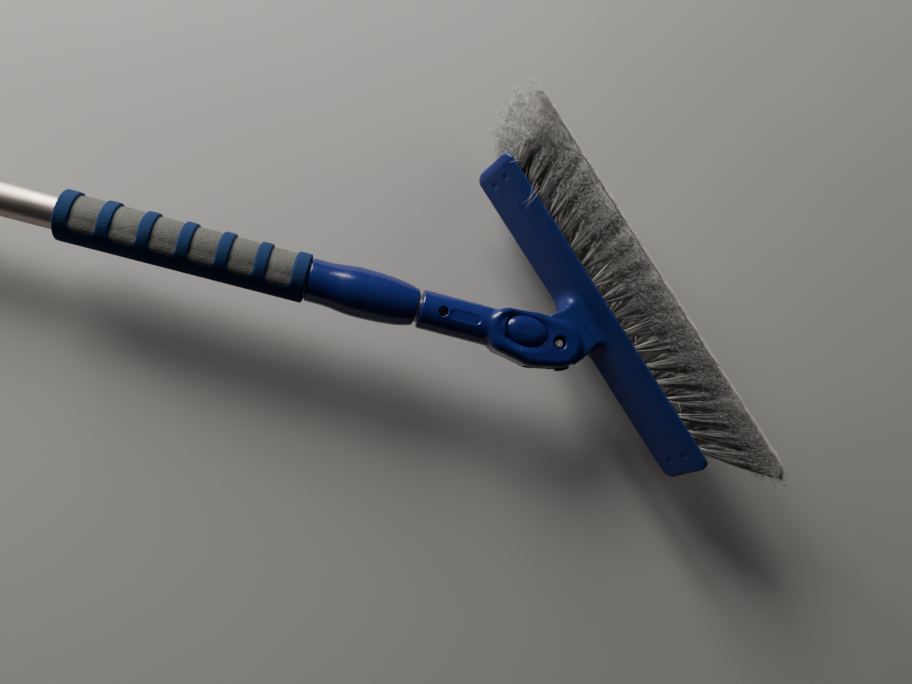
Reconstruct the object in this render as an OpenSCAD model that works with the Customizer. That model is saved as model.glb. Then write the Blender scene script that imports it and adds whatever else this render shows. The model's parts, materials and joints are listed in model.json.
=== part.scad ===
// Telescopic soft-bristle brush: a pole in two tubes, a twist-lock collar, and a brush head
// that swivels on the neck and locks in steps.
//
// Pole frame: the origin is where the swivel pin crosses the pole's axis, +X runs along the
// pole towards the head and +Z runs along the pin. Head frame: the same origin, turned about
// +Z by head_turn, so +X points from the pin to the block. Block frame: the origin is the
// middle of the block's top face, +X across it, +Y along it and +Z out of it.
// The finished part lies on the ground on its lower bristle tips and its end cap.

/* [Pole] */
// Outside diameter of the outer tube
outer_tube_d = 25.4; // [25.2:0.1:25.8]
// Outside diameter of the inner tube
inner_tube_d = 22.2; // [22:0.1:22.4]
// Wall thickness of both tubes
tube_wall = 1.2; // [1:0.1:1.2]
// Distance from the swivel pin to the end cap's rear edge, with the pole pushed in
pole_len = 1050; // [900:10:1200]

/* [Grip] */
// Length of the foam grip
grip_len = 180; // [150:5:200]
// Outside diameter of the foam grip
grip_d = 38.4; // [37:0.2:40]
// Depth of the windows in the outer foam
window_depth = 1.9; // [1:0.1:2.5]
// Number of windows along the grip
window_count = 6; // [3:1:6]

/* [Neck] */
// Outside diameter of the neck's socket
socket_d = 31; // [30:0.5:33]
// Thickness of the knuckle along the swivel pin
knuckle_t = 23; // [22:0.5:25]
// Angle that the head is swivelled to, from the pole's own line
head_turn = 46.6; // [0:0.1:48]

/* [Brush head] */
// Length of the brush block
block_len = 309; // [250:1:350]
// Width of the brush block
block_w = 46; // [44:0.5:50]
// Thickness of the brush block
block_t = 11.5; // [10:0.5:14]
// Angle between the swivel pin and the direction square to the block's top face
block_lean = 60.7; // [55:0.1:65]
// Length of the bristles below the block
bristle_len = 52; // [40:1:60]
// Width of the brush across its tips
tip_w = 81; // [70:1:85]
// Length of the brush along its tips
tip_len = 376; // [360:1:400]
// Tufts in each row
tuft_count = 18; // [12:1:18]

/* [Hidden] */
$fn = 96;

// Clearances
run_gap = 0.05;   // radial, between a shaft and its bore
free_gap = 0.3;   // between pieces that pass each other
cut = 1;          // how far a cutting shape runs past a face

// Tubes
outer_r = outer_tube_d / 2;
outer_bore_r = outer_r - tube_wall;
inner_r = inner_tube_d / 2;
inner_bore_r = inner_r - tube_wall;
outer_tube_x = [-pole_len + 15, -178];
inner_tube_x = [-pole_len + 50, -68];

// Grip
grip_x = [-204 - grip_len, -204];
grip_r = grip_d / 2;
core_r = grip_r - window_depth;
end_band = 10.4;
rib_w = 8.4;
window_w = (grip_len - 2 * end_band - (window_count - 1) * rib_w) / window_count;
window_pitch = window_w + rib_w;
window_mid_deg = 57;   // from +Z towards +Y
window_half_deg = 100;

// Lock collar and the parts under it
collar_x = [-203, -117.5];
collar_rear_r = 17;
collar_max_r = 19.5;
collar_front_r = 13;
thread_r = 14.6;
sleeve_x = [-202, -166];
collet_x = [-166, -138];
collet_r = [14, 12.4];

// End cap with its hanging eye
cap_r = 13.9;
cap_x = [-pole_len, -pole_len + 35];
eye_x = -pole_len - 14;
eye_end_r = 11;
eye_t = 10;
hang_hole_r = 4;

// Neck and knuckle
socket_r = socket_d / 2;
socket_x = -115;
half_t = knuckle_t / 2;
fork_half = 4.8;
fork_x = -22.6;
neck_screw_x = -97.5;
neck_screw_hole_r = 3.7;
neck_screw_seat_z = 12.8;
groove_x = [-91.4, -67.4];
groove_r = 3.5;

// Button, its well and its spring
button_mid = [-29, 2.5];
button_half = [18, 12];
button_z = [9.1, 14];
button_gap = 0.5;
well_x = [-50.5, fork_x - 0.1];
well_half_y = 13.5;
well_floor_z = -8;
flange_z = [1.6, 4.4];
tooth_r = 2.6;
spring_x = -38;
spring_r = 5;
spring_wire_r = 0.45;
spring_turns = 6;

// Swivel pin stack
pin_r = 2.1;
bush_r = 4;
screw_seat_z = 7.2;
screw_well_r = 5.6;
nut_well_r = 4.8;
nut_seat_z = -7.4;

// Tongue moulded on the block
tongue_r = 22;
tongue_half = 4.4;
notch_r = 2.9;
flange_low_z = -0.3;
hub_r = 18;
arm_u = 24.6;
arm_foot_x = [-20, -4];

// Block and bristles
block_u = 38.7;
block_z = -7.6;
block_corner_r = 9;
block_edge = 1.5;
rib_band_w = 9.5;
rib_band_h = 0.7;
rib_band_end = 33;
tuft_rows = 5;
row_gap = 8.3;
tuft_gap = 16.3;
tuft_hole_r = 2.4;
tuft_hole_depth = 7.5;
root_r = 2.35;
root_row_w = 5.6;
root_row_len = (tuft_count - 1) * tuft_gap + 6;
tip_gap = 0.4;

// Where the part lies on the ground
function turned(p, a) = [p.x * cos(a) - p.y * sin(a), p.x * sin(a) + p.y * cos(a), p.z];
function tipped(p, a) = [p.x * cos(a) + p.z * sin(a), p.y, p.z * cos(a) - p.x * sin(a)];
function block_point(p) =
    [block_u + p.x * cos(block_lean) - p.z * sin(block_lean),
     p.y,
     block_z + p.x * sin(block_lean) + p.z * cos(block_lean)];
tip_depth = -block_t - bristle_len;
low_tip = block_point([-tip_w / 2, 0, tip_depth]);
tilt = atan((-low_tip.z - cap_r) / (low_tip.x + pole_len * cos(head_turn)));
turn = atan2(sin(head_turn), cos(head_turn) * cos(tilt));
function laid(p) = turned(tipped(turned(p, -head_turn), -tilt), turn);
corners = [
    for (x = [-1, 1], y = [-1, 1])
        laid(turned(block_point([x * tip_w / 2, y * tip_len / 2, tip_depth]), head_turn))
];
rear = laid([eye_x - eye_end_r, 0, 0]);
mid_x = (rear.x + max([for (c = corners) c.x])) / 2;
mid_y = (min([for (c = corners) c.y]) + max([for (c = corners) c.y])) / 2;
ground_z = min([for (c = corners) c.z]);

module lay_down() {
    translate([-mid_x, -mid_y, -ground_z])
        rotate([0, 0, turn])
            rotate([0, -tilt, 0])
                rotate([0, 0, -head_turn])
                    children();
}

module in_head() {
    lay_down()
        rotate([0, 0, head_turn])
            children();
}

module in_block() {
    in_head()
        translate([block_u, 0, block_z])
            rotate([0, -block_lean, 0])
                children();
}

// Turns children's +Z to the pole's +X, starting at x
module along_pole(x) {
    translate([x, 0, 0])
        rotate([0, 90, 0])
            children();
}

module ring(x, r_out, r_in) {
    along_pole(x[0])
        difference() {
            cylinder(h = x[1] - x[0], r = r_out);
            translate([0, 0, -cut])
                cylinder(h = x[1] - x[0] + 2 * cut, r = r_in);
        }
}

module ellipse(half) {
    polygon([for (i = [0 : 5 : 355]) [half.x * cos(i), half.y * sin(i)]]);
}

module pill(length, r) {
    for (end = [-1, 1])
        translate([0, end * (length / 2 - r)])
            circle(r = r);
    square([2 * r, length - 2 * r], center = true);
}

module outer_tube() {
    color("silver")
        lay_down()
            ring(outer_tube_x, outer_r, outer_bore_r);
}

module inner_tube() {
    color("silver")
        lay_down()
            difference() {
                ring(inner_tube_x, inner_r, inner_bore_r);
                translate([neck_screw_x, 0, 0])
                    cylinder(h = inner_r + cut, r = 1.6);
            }
}

module grip_core() {
    color("gray")
        lay_down()
            ring(grip_x, core_r, outer_r);
}

// One window cut round the grip: a band that ends in two drilled holes
module window_cutter() {
    reach = grip_r + cut;
    end_r = window_w / 2;
    end_deg = window_half_deg - end_r / grip_r * 180 / PI;
    rotate([-window_mid_deg, 0, 0]) {
        rotate([0, -90, 0])
            linear_extrude(height = window_w - 1, center = true)
                polygon([
                    [0, 0],
                    for (a = [-end_deg : end_deg / 2 : end_deg])
                        2 * reach * [cos(a), sin(a)]
                ]);
        for (a = [-end_deg, end_deg])
            rotate([-a, 0, 0])
                translate([0, 0, 5])
                    cylinder(h = reach, r = end_r);
    }
}

module grip_sleeve() {
    color("royalblue")
        lay_down()
            difference() {
                ring(grip_x, grip_r, core_r);
                for (i = [0 : window_count - 1])
                    translate([grip_x[0] + end_band + window_w / 2 + i * window_pitch, 0, 0])
                        window_cutter();
            }
}

module thread_sleeve() {
    stop_x = outer_tube_x[1];
    color("dimgray")
        lay_down() {
            ring([sleeve_x[0], stop_x], thread_r, outer_r);
            ring([stop_x, sleeve_x[1]], thread_r, inner_r + free_gap);
        }
}

module collet() {
    length = collet_x[1] - collet_x[0];
    slot_w = 1.5;
    solid_len = 8;
    color("dimgray")
        lay_down()
            along_pole(collet_x[0])
                difference() {
                    cylinder(h = length, r1 = collet_r[0], r2 = collet_r[1]);
                    translate([0, 0, -cut])
                        cylinder(h = length + 2 * cut, r = inner_r + run_gap);
                    for (a = [0, 90])
                        rotate([0, 0, a])
                            translate([-outer_r - cut, -slot_w / 2, solid_len])
                                cube([2 * (outer_r + cut), slot_w, length]);
                }
}

module end_cap() {
    eye_w = 2 * eye_end_r;
    color("royalblue")
        lay_down()
            difference() {
                union() {
                    ring([outer_tube_x[0], cap_x[1]], cap_r, outer_r);
                    along_pole(cap_x[0])
                        cylinder(h = outer_tube_x[0] - cap_x[0], r = cap_r);
                    along_pole(outer_tube_x[0])
                        cylinder(h = 14, r = outer_bore_r);
                    along_pole(cap_x[0] - 3)
                        cylinder(h = 3, r1 = cap_r - 2.5, r2 = cap_r);
                    translate([eye_x, 0, -eye_t / 2])
                        cylinder(h = eye_t, r = eye_end_r);
                    translate([eye_x, -eye_w / 2, -eye_t / 2])
                        cube([cap_x[0] - eye_x, eye_w, eye_t]);
                }
                translate([eye_x, 0, -eye_t])
                    cylinder(h = 2 * eye_t, r = hang_hole_r);
            }
}

// Radius of the collar's barrel at a distance in front of its rear face
function collar_r(d) =
    d < 16 ? collar_rear_r :
    d < 36 ? collar_rear_r + (collar_max_r - collar_rear_r) * (1 - cos(9 * (d - 16))) / 2 :
    d < 42 ? collar_max_r :
    collar_front_r + (collar_max_r - collar_front_r) * sqrt(1 - pow((d - 42) / 43.5, 2));

module lock_collar() {
    length = collar_x[1] - collar_x[0];
    sleeve_end = sleeve_x[1] - collar_x[0] + 1;
    cone_end = collet_x[1] - collar_x[0] + 2;
    cone_r = collet_r[1] + 0.5;
    mouth_r = inner_r + 0.5;
    outline = [for (d = [2 : 2 : 42], n = [0]) [collar_r(d), d]];
    nose = [for (d = [44 : 2.5 : length - 0.5]) [collar_r(d), d]];
    color("royalblue")
        lay_down()
            along_pole(collar_x[0])
                rotate_extrude()
                    polygon(concat(
                        [[thread_r + run_gap, 0], [collar_rear_r - 1, 0], [collar_rear_r - 0.3, 0.6]],
                        outline,
                        nose,
                        [[collar_front_r, length], [mouth_r, length], [mouth_r, cone_end + 3]],
                        [[cone_r, cone_end], [collet_r[0] + 0.5, sleeve_end]],
                        [[thread_r + run_gap, sleeve_end]]
                    ));
}

module guide_bush() {
    spigot_len = 15;
    head_len = 12;
    rear_x = inner_tube_x[0];
    color("white")
        lay_down()
            difference() {
                union() {
                    along_pole(rear_x - free_gap - head_len)
                        cylinder(h = head_len, r = outer_bore_r - run_gap);
                    along_pole(rear_x - 2 * free_gap)
                        cylinder(h = spigot_len, r = inner_bore_r - run_gap);
                }
                along_pole(rear_x - head_len - cut)
                    cylinder(h = head_len + spigot_len + cut, r = inner_bore_r - 2);
            }
}

// Flat outline of the knuckle, seen along the swivel pin
module knuckle_outline(inset) {
    hull() {
        circle(r = 20 - inset);
        translate([-20, -2])
            circle(r = 22 - inset);
        translate([-41, -1])
            circle(r = 19 - inset);
    }
}

module knuckle() {
    edge = 3;
    hull() {
        translate([0, 0, -half_t + edge])
            linear_extrude(height = knuckle_t - 2 * edge)
                knuckle_outline(0);
        translate([0, 0, -half_t])
            linear_extrude(height = knuckle_t)
                knuckle_outline(edge);
    }
    hull() {
        along_pole(-72)
            cylinder(h = 6, r = socket_r, $fn = 48);
        translate([-41, -1, -half_t + edge])
            cylinder(h = knuckle_t - 2 * edge, r = 19, $fn = 48);
    }
    translate([button_mid.x, button_mid.y, half_t - cut])
        linear_extrude(height = cut + 0.8)
            ellipse(button_half + [3.5, 3.5]);
}

module neck_housing() {
    rim = 1.5;
    color("royalblue")
        lay_down()
            difference() {
                union() {
                    along_pole(socket_x + rim)
                        cylinder(h = 50, r = socket_r);
                    along_pole(socket_x)
                        cylinder(h = rim, r1 = socket_r - rim, r2 = socket_r);
                    knuckle();
                }
                along_pole(socket_x - cut)
                    cylinder(h = inner_tube_x[1] - socket_x + cut, r = inner_r);
                translate([neck_screw_x, 0, neck_screw_seat_z])
                    cylinder(h = socket_r, r = neck_screw_hole_r);
                translate([neck_screw_x, 0, 0])
                    cylinder(h = socket_r, r = 1.6);
                translate([(groove_x[0] + groove_x[1]) / 2, 0, socket_r - 0.6])
                    rotate([0, 0, 90])
                        linear_extrude(height = 2)
                            pill(groove_x[1] - groove_x[0], groove_r);
                translate([fork_x, -30, -fork_half])
                    cube([60, 60, 2 * fork_half]);
                translate([well_x[0], button_mid.y - well_half_y, well_floor_z])
                    cube([well_x[1] - well_x[0] + 2 * cut, 2 * well_half_y, fork_half - well_floor_z]);
                translate([button_mid.x, button_mid.y, 0])
                    linear_extrude(height = 30)
                        ellipse(button_half + [button_gap, button_gap]);
                translate([0, 0, -half_t - cut])
                    cylinder(h = knuckle_t + 2 * cut, r = pin_r);
                translate([0, 0, screw_seat_z])
                    cylinder(h = half_t, r = screw_well_r);
                translate([0, 0, -half_t - cut])
                    cylinder(h = half_t + nut_seat_z + cut, r = nut_well_r);
            }
}

module neck_screw() {
    color("silver")
        lay_down()
            translate([neck_screw_x, 0, 0]) {
                translate([0, 0, inner_bore_r - 1.5])
                    cylinder(h = neck_screw_seat_z - inner_bore_r + 1.5, r = 1.6);
                translate([0, 0, neck_screw_seat_z])
                    difference() {
                        cylinder(h = 1.6, r = 3);
                        translate([0, 0, 0.8])
                            cylinder(h = 1, r = 1.2, $fn = 6);
                    }
            }
}

module pivot_screw() {
    head_h = 2.6;
    color("silver")
        lay_down() {
            translate([0, 0, -11])
                cylinder(h = screw_seat_z + 11, r = pin_r);
            translate([0, 0, screw_seat_z])
                difference() {
                    cylinder(h = head_h, r = 3.4);
                    translate([0, 0, head_h - 1])
                        cylinder(h = 2, r = 1.5, $fn = 6);
                }
        }
}

module pivot_bush() {
    color("white")
        lay_down()
            difference() {
                translate([0, 0, -fork_half])
                    cylinder(h = 2 * fork_half, r = bush_r);
                translate([0, 0, -fork_half - cut])
                    cylinder(h = 2 * fork_half + 2 * cut, r = pin_r);
            }
}

module pivot_washer() {
    color("silver")
        lay_down()
            translate([0, 0, nut_seat_z - 0.8])
                difference() {
                    cylinder(h = 0.8, r = 4.4);
                    translate([0, 0, -cut])
                        cylinder(h = 3, r = pin_r + run_gap);
                }
}

module pivot_nut() {
    color("silver")
        lay_down()
            translate([0, 0, nut_seat_z - 4])
                difference() {
                    cylinder(h = 3.2, r = 4.04, $fn = 6);
                    translate([0, 0, -cut])
                        cylinder(h = 6, r = pin_r);
                }
}

module release_button() {
    flange_x = [-49.4, -25];
    flange_half_y = 13;
    dome_steps = 8;
    color("royalblue")
        lay_down() {
            translate([button_mid.x, button_mid.y, button_z[0]])
                hull()
                    for (i = [0 : dome_steps - 1])
                        linear_extrude(height = 1.4 + (button_z[1] - button_z[0] - 1.4) * sin(90 * i / (dome_steps - 1)))
                            scale(cos(68 * i / (dome_steps - 1)))
                                ellipse(button_half);
            translate([-43, button_mid.y - 8, flange_z[0]])
                cube([17, 16, button_z[0] + 1 - flange_z[0]]);
            translate([flange_x[0], button_mid.y - flange_half_y, flange_z[0]])
                cube([flange_x[1] - flange_x[0], 2 * flange_half_y, flange_z[1] - flange_z[0]]);
            translate([fork_x + free_gap - tooth_r, 0, 0.4])
                cylinder(h = 3.2, r = tooth_r);
        }
}

// Points of one wire section of the spring, part of the way round its helix
function wire_ring(a, z) = [
    for (b = [0 : 60 : 300])
        [(spring_r + spring_wire_r * cos(b)) * cos(a),
         (spring_r + spring_wire_r * cos(b)) * sin(a),
         z + spring_wire_r * sin(b)]
];

module button_spring() {
    sides = 6;
    steps = spring_turns * 20;
    low = well_floor_z + spring_wire_r;
    high = flange_z[0] - spring_wire_r;
    rings = [for (i = [0 : steps]) wire_ring(i * 18, low + (high - low) * i / steps)];
    color("silver")
        lay_down()
            translate([spring_x, button_mid.y, 0])
                polyhedron(
                    points = [for (r = rings, p = r) p],
                    faces = [
                        for (i = [0 : steps - 1], j = [0 : sides - 1])
                            [i * sides + j, (i + 1) * sides + j,
                             (i + 1) * sides + (j + 1) % sides, i * sides + (j + 1) % sides],
                        [for (j = [0 : sides - 1]) j],
                        [for (j = [sides - 1 : -1 : 0]) steps * sides + j]
                    ]
                );
}

// Tongue between the knuckle's cheeks, from z0 to z1: round about the swivel pin
module tongue_plate(z, r) {
    translate([0, 0, z[0]])
        linear_extrude(height = z[1] - z[0])
            hull() {
                circle(r = r);
                translate([arm_u - 2, -tongue_r])
                    square([2, 2 * tongue_r]);
            }
}

// A point of the arm's side view, from its place across the block and above its face
function arm_point(x, z) = let(p = block_point([x, 0, z])) [p.x, p.z];

// Arm that bends down past the lower cheek from the tongue to the block's face
module tongue_arm() {
    rotate([90, 0, 0])
        linear_extrude(height = 2 * tongue_r, center = true)
            polygon([
                [arm_u - 3, tongue_half], [tongue_r, tongue_half],
                arm_point(arm_foot_x[1], 0), arm_point(arm_foot_x[1], -5),
                arm_point(arm_foot_x[0], -5), arm_point(arm_foot_x[0], 0),
                [arm_u, -half_t], [arm_u, -tongue_half], [arm_u - 3, -tongue_half]
            ]);
}

module block_plan(inset) {
    corner = block_corner_r - inset;
    for (x = [-1, 1], y = [-1, 1])
        translate([x * (block_w / 2 - block_corner_r), y * (block_len / 2 - block_corner_r)])
            circle(r = corner);
    square([block_w - 2 * inset, block_len - 2 * block_corner_r], center = true);
    square([block_w - 2 * block_corner_r, block_len - 2 * inset], center = true);
}

module block_body() {
    translate([0, 0, -block_t])
        linear_extrude(height = block_t - block_edge)
            block_plan(0);
    translate([0, 0, -block_edge])
        hull() {
            linear_extrude(height = 0.01)
                block_plan(0);
            linear_extrude(height = block_edge)
                block_plan(block_edge);
        }
    translate([0, 0, -cut])
        linear_extrude(height = cut + rib_band_h)
            pill(block_len - 2 * rib_band_end, rib_band_w / 2);
}

// Repeats children over every tuft hole, or over one row of them
module at_tufts(rows) {
    for (row = rows, i = [0 : tuft_count - 1])
        translate([row_gap * row, tuft_gap * (i - (tuft_count - 1) / 2), -block_t])
            children();
}

module brush_block() {
    dimple_r = 3;
    color("royalblue")
        difference() {
            union() {
                in_head() {
                    tongue_plate([flange_low_z, tongue_half], tongue_r);
                    tongue_plate([-tongue_half, flange_low_z], hub_r);
                    tongue_arm();
                }
                in_block()
                    block_body();
            }
            in_head() {
                translate([0, 0, -tongue_half - cut])
                    cylinder(h = 2 * (tongue_half + cut), r = bush_r + run_gap);
                for (a = [90 : 45 : 270])
                    rotate([0, 0, a])
                        translate([tongue_r + 0.4, 0, flange_low_z - cut])
                            cylinder(h = tongue_half + 3 * cut, r = notch_r);
            }
            in_block() {
                at_tufts([-2 : 2])
                    translate([0, 0, -cut])
                        cylinder(h = tuft_hole_depth + cut, r = tuft_hole_r, $fn = 24);
                for (x = [-7.4, 7.4], y = [-1, 1])
                    translate([x, y * (block_len / 2 - 17), dimple_r - 0.8])
                        sphere(r = dimple_r, $fn = 32);
            }
        }
}

// One row of bristles: a flared slab with a round root in each tuft hole
module bristle_row(row) {
    tip_row_w = (tip_w - (tuft_rows - 1) * tip_gap) / tuft_rows;
    tip_x = row * (tip_row_w + tip_gap);
    root_x = row * row_gap;
    points = [
        for (end = [0, 1], y = [-1, 1], x = [-1, 1])
            end == 0
                ? [root_x + x * root_row_w / 2, y * root_row_len / 2, -block_t]
                : [tip_x + x * tip_row_w / 2, y * tip_len / 2, tip_depth]
    ];
    color("darkgray")
        in_block() {
            polyhedron(
                points = points,
                faces = [
                    [0, 2, 3, 1], [4, 5, 7, 6], [0, 1, 5, 4],
                    [2, 6, 7, 3], [0, 4, 6, 2], [1, 3, 7, 5]
                ]
            );
            at_tufts([row])
                translate([0, 0, -cut / 2])
                    cylinder(h = tuft_hole_depth - 0.9, r = root_r, $fn = 24);
        }
}

module bristle_row_1() { bristle_row(-2); }
module bristle_row_2() { bristle_row(-1); }
module bristle_row_3() { bristle_row(0); }
module bristle_row_4() { bristle_row(1); }
module bristle_row_5() { bristle_row(2); }

// Flat wire anchors, one at the bottom of each tuft hole
module tuft_staples() {
    color("silver")
        in_block()
            at_tufts([-2 : 2])
                translate([-2, -0.25, tuft_hole_depth - 1.3])
                    cube([4, 0.5, 1.2]);
}

outer_tube();
grip_core();
grip_sleeve();
thread_sleeve();
collet();
end_cap();
lock_collar();
guide_bush();
inner_tube();
neck_housing();
neck_screw();
pivot_screw();
pivot_bush();
pivot_washer();
pivot_nut();
release_button();
button_spring();
brush_block();
bristle_row_1();
bristle_row_2();
bristle_row_3();
bristle_row_4();
bristle_row_5();
tuft_staples();
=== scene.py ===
import json
import math

import bpy
import numpy as np
from mathutils import Matrix, Vector


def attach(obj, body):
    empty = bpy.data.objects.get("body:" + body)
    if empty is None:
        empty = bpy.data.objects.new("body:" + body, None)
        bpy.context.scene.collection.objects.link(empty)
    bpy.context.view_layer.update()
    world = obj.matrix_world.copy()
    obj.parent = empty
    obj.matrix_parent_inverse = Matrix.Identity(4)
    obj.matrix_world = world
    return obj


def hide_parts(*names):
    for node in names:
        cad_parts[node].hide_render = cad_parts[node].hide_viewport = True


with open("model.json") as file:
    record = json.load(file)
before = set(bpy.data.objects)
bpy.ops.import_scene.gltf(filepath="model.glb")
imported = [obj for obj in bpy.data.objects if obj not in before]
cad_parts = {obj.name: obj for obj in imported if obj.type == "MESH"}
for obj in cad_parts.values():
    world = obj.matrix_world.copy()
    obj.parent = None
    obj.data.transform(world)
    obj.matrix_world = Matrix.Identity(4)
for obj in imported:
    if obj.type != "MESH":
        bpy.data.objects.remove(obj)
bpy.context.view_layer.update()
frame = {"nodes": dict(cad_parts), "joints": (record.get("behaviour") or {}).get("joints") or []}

MM = 0.001
SEED = 20

# ---------------------------------------------------------------- frames
# Every shape of the brush is worked out in millimetres, in one of three frames:
#   pole   origin on the swivel pin and the pole's axis, +X towards the head, +Z along the pin
#   head   the pole frame turned about the pin to where the head points
#   block  origin in the middle of the block's top face, +X across, +Y along, +Z out of it

joints = {j["name"]: j for j in frame["joints"]}
pin = Vector(joints["head_swivel"]["pos_m"])
pin_axis = Vector(joints["head_swivel"]["axis"]).normalized()
pole_axis = Vector(joints["telescope"]["axis"]).normalized()

HEAD_TURN = math.radians(46.6)
BLOCK_LEAN = math.radians(60.7)
BLOCK_U, BLOCK_Z = 38.7, -7.6

side_axis = pin_axis.cross(pole_axis)
POLE = Matrix.Translation(pin) @ Matrix((pole_axis, side_axis, pin_axis)).transposed().to_4x4()
HEAD = POLE @ Matrix.Rotation(HEAD_TURN, 4, "Z")
BLOCK = HEAD @ Matrix.Translation(Vector((BLOCK_U, 0, BLOCK_Z)) * MM) @ Matrix.Rotation(-BLOCK_LEAN, 4, "Y")


def along_pole(node):
    """Where a CAD node starts and ends along the pole, in mm in the pole frame"""
    inverse = POLE.inverted()
    xs = [(inverse @ v.co).x / MM for v in frame["nodes"][node].data.vertices]
    return min(xs), max(xs)


def ramp(x, a, b):
    """0 below a, 1 above b and smooth between"""
    t = np.clip((x - a) / (b - a), 0, 1)
    return t * t * (3 - 2 * t)


# ---------------------------------------------------------------- meshes

def new_piece(name, points, faces, place, body, replaced, material):
    """A smooth-shaded object from points in mm in the frame place, riding on body"""
    mesh = bpy.data.meshes.new(name)
    rotation = np.array(place.to_3x3())
    world = np.asarray(points, float) * MM @ rotation.T + np.array(place.translation)
    mesh.from_pydata(world.tolist(), [], [list(map(int, f)) for f in faces])
    mesh.validate()
    mesh.shade_smooth()
    mesh.materials.append(material)
    piece = bpy.data.objects.new(name, mesh)
    bpy.context.scene.collection.objects.link(piece)
    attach(piece, body)
    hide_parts(*replaced)
    return piece


def ring_faces(rings, sides, closed):
    """Quads between successive rings of points; closed joins the last ring to the first"""
    faces = []
    for i in range(rings if closed else rings - 1):
        a, b = i * sides, (i + 1) % rings * sides
        for j in range(sides):
            k = (j + 1) % sides
            faces.append((a + j, a + k, b + k, b + j))
    return faces


def turned_points(profile, sides):
    """Points of (x, radius) pairs turned round the pole's axis"""
    angles = np.linspace(0, 2 * math.pi, sides, endpoint=False)
    return [(x, r * math.sin(a), r * math.cos(a)) for x, r in profile for a in angles]


def turned(name, profile, body, replaced, material, sides=128):
    """A closed ring-shaped piece: profile is a closed outline of (x, radius) pairs"""
    faces = ring_faces(len(profile), sides, True)
    return new_piece(name, turned_points(profile, sides), faces, POLE, body, replaced, material)


def arc(centre_x, centre_r, radius, start_deg, end_deg, steps=6):
    """(x, radius) pairs along an arc; 0 degrees points forwards and 90 outwards"""
    angles = np.radians(np.linspace(start_deg, end_deg, steps))
    return [(centre_x + radius * math.cos(a), centre_r + radius * math.sin(a)) for a in angles]


def field_mesh(field, low, high, cell):
    """Points and quads of the surface where field(x, y, z) is zero, negative inside: surface
    nets on a grid, then each point is moved on to the surface along the field's slope."""
    axes = [np.arange(a, b + c, c) for a, b, c in zip(low, high, cell)]
    values = field(*np.meshgrid(*axes, indexing="ij"))
    inside = values < 0
    shape = tuple(n - 1 for n in values.shape)
    corner = lambda array, i, j, k: array[i:i + shape[0], j:j + shape[1], k:k + shape[2]]
    corners = [(i, j, k) for i in (0, 1) for j in (0, 1) for k in (0, 1)]
    filled = sum(corner(inside, *c).astype(np.int8) for c in corners)
    active = (filled > 0) & (filled < 8)
    cells = np.argwhere(active)
    total = np.zeros((len(cells), 3))
    count = np.zeros(len(cells))
    for a in corners:
        for axis in range(3):
            if a[axis]:
                continue
            b = list(a)
            b[axis] = 1
            va = corner(values, *a)[active]
            vb = corner(values, *b)[active]
            crossed = (va < 0) != (vb < 0)
            t = np.where(crossed, va / np.where(crossed, va - vb, 1), 0)
            place = np.tile(np.array(a, float), (len(cells), 1))
            place[:, axis] += t
            total += place * crossed[:, None]
            count += crossed
    cell = np.array(cell, float)
    points = (cells + total / count[:, None]) * cell + np.array([axis[0] for axis in axes])
    index = np.full(shape, -1)
    index[active] = np.arange(len(cells))
    faces = []
    for axis in range(3):
        one, two = [n for n in range(3) if n != axis]
        step = [0, 0, 0]
        step[axis] = 1
        inner = [slice(0, n) for n in shape]
        inner[one] = slice(1, shape[one])
        inner[two] = slice(1, shape[two])
        first = inside[tuple(inner)]
        moved = list(inner)
        moved[axis] = slice(1, shape[axis] + 1)
        second = inside[tuple(moved)]
        for sign, chosen in ((1, first & ~second), (-1, ~first & second)):
            at = np.argwhere(chosen) + [0 if n == axis else 1 for n in range(3)]
            ring = []
            for d_one, d_two in ((0, 0), (-1, 0), (-1, -1), (0, -1)):
                shifted = at.copy()
                shifted[:, one] += d_one
                shifted[:, two] += d_two
                ring.append(index[tuple(shifted.T)])
            quad = np.stack(ring, 1)
            if (sign > 0) != (axis == 1):
                quad = quad[:, ::-1]
            faces.append(quad)
    faces = np.concatenate(faces)[:, ::-1]
    start = points.copy()
    probe = 0.02
    for _ in range(4):
        here = field(*points.T)
        slope = np.stack([
            field(*(points + probe * np.eye(3)[n]).T) - field(*(points - probe * np.eye(3)[n]).T)
            for n in range(3)
        ], 1) / (2 * probe)
        size = np.maximum((slope ** 2).sum(1), 0.2)
        points = points - (here / size)[:, None] * slope
        points = np.clip(points, start - 0.6 * cell, start + 0.6 * cell)
    return points, faces


# Distances for field_mesh: each is negative inside its shape
def joined(a, b, blend):
    """Union with a fillet of about the size blend"""
    h = np.maximum(blend - np.abs(a - b), 0) / blend
    return np.minimum(a, b) - h * h * blend / 4


def cut_away(a, b, blend):
    """a without b, with the edge between them rounded"""
    return -joined(-a, b, blend)


def rounded(a, b, edge):
    """Where two distances are both negative, with the corner between them rounded"""
    a, b = a + edge, b + edge
    outside = np.hypot(np.maximum(a, 0), np.maximum(b, 0))
    return outside + np.minimum(np.maximum(a, b), 0) - edge


def limb(x, y, start, end):
    """Flat shape round the line from start to end, each (x, y, radius)"""
    dx, dy = end[0] - start[0], end[1] - start[1]
    t = np.clip(((x - start[0]) * dx + (y - start[1]) * dy) / (dx * dx + dy * dy), 0, 1)
    radius = start[2] + t * (end[2] - start[2])
    return np.hypot(x - start[0] - t * dx, y - start[1] - t * dy) - radius


def oval(x, y, centre, half):
    """Flat ellipse, close to a true distance near its edge"""
    px, py = (x - centre[0]) / half[0], (y - centre[1]) / half[1]
    k = np.hypot(px, py)
    slope = np.hypot(px / half[0], py / half[1])
    return k * (k - 1) / np.maximum(slope, 1e-6)


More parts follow.
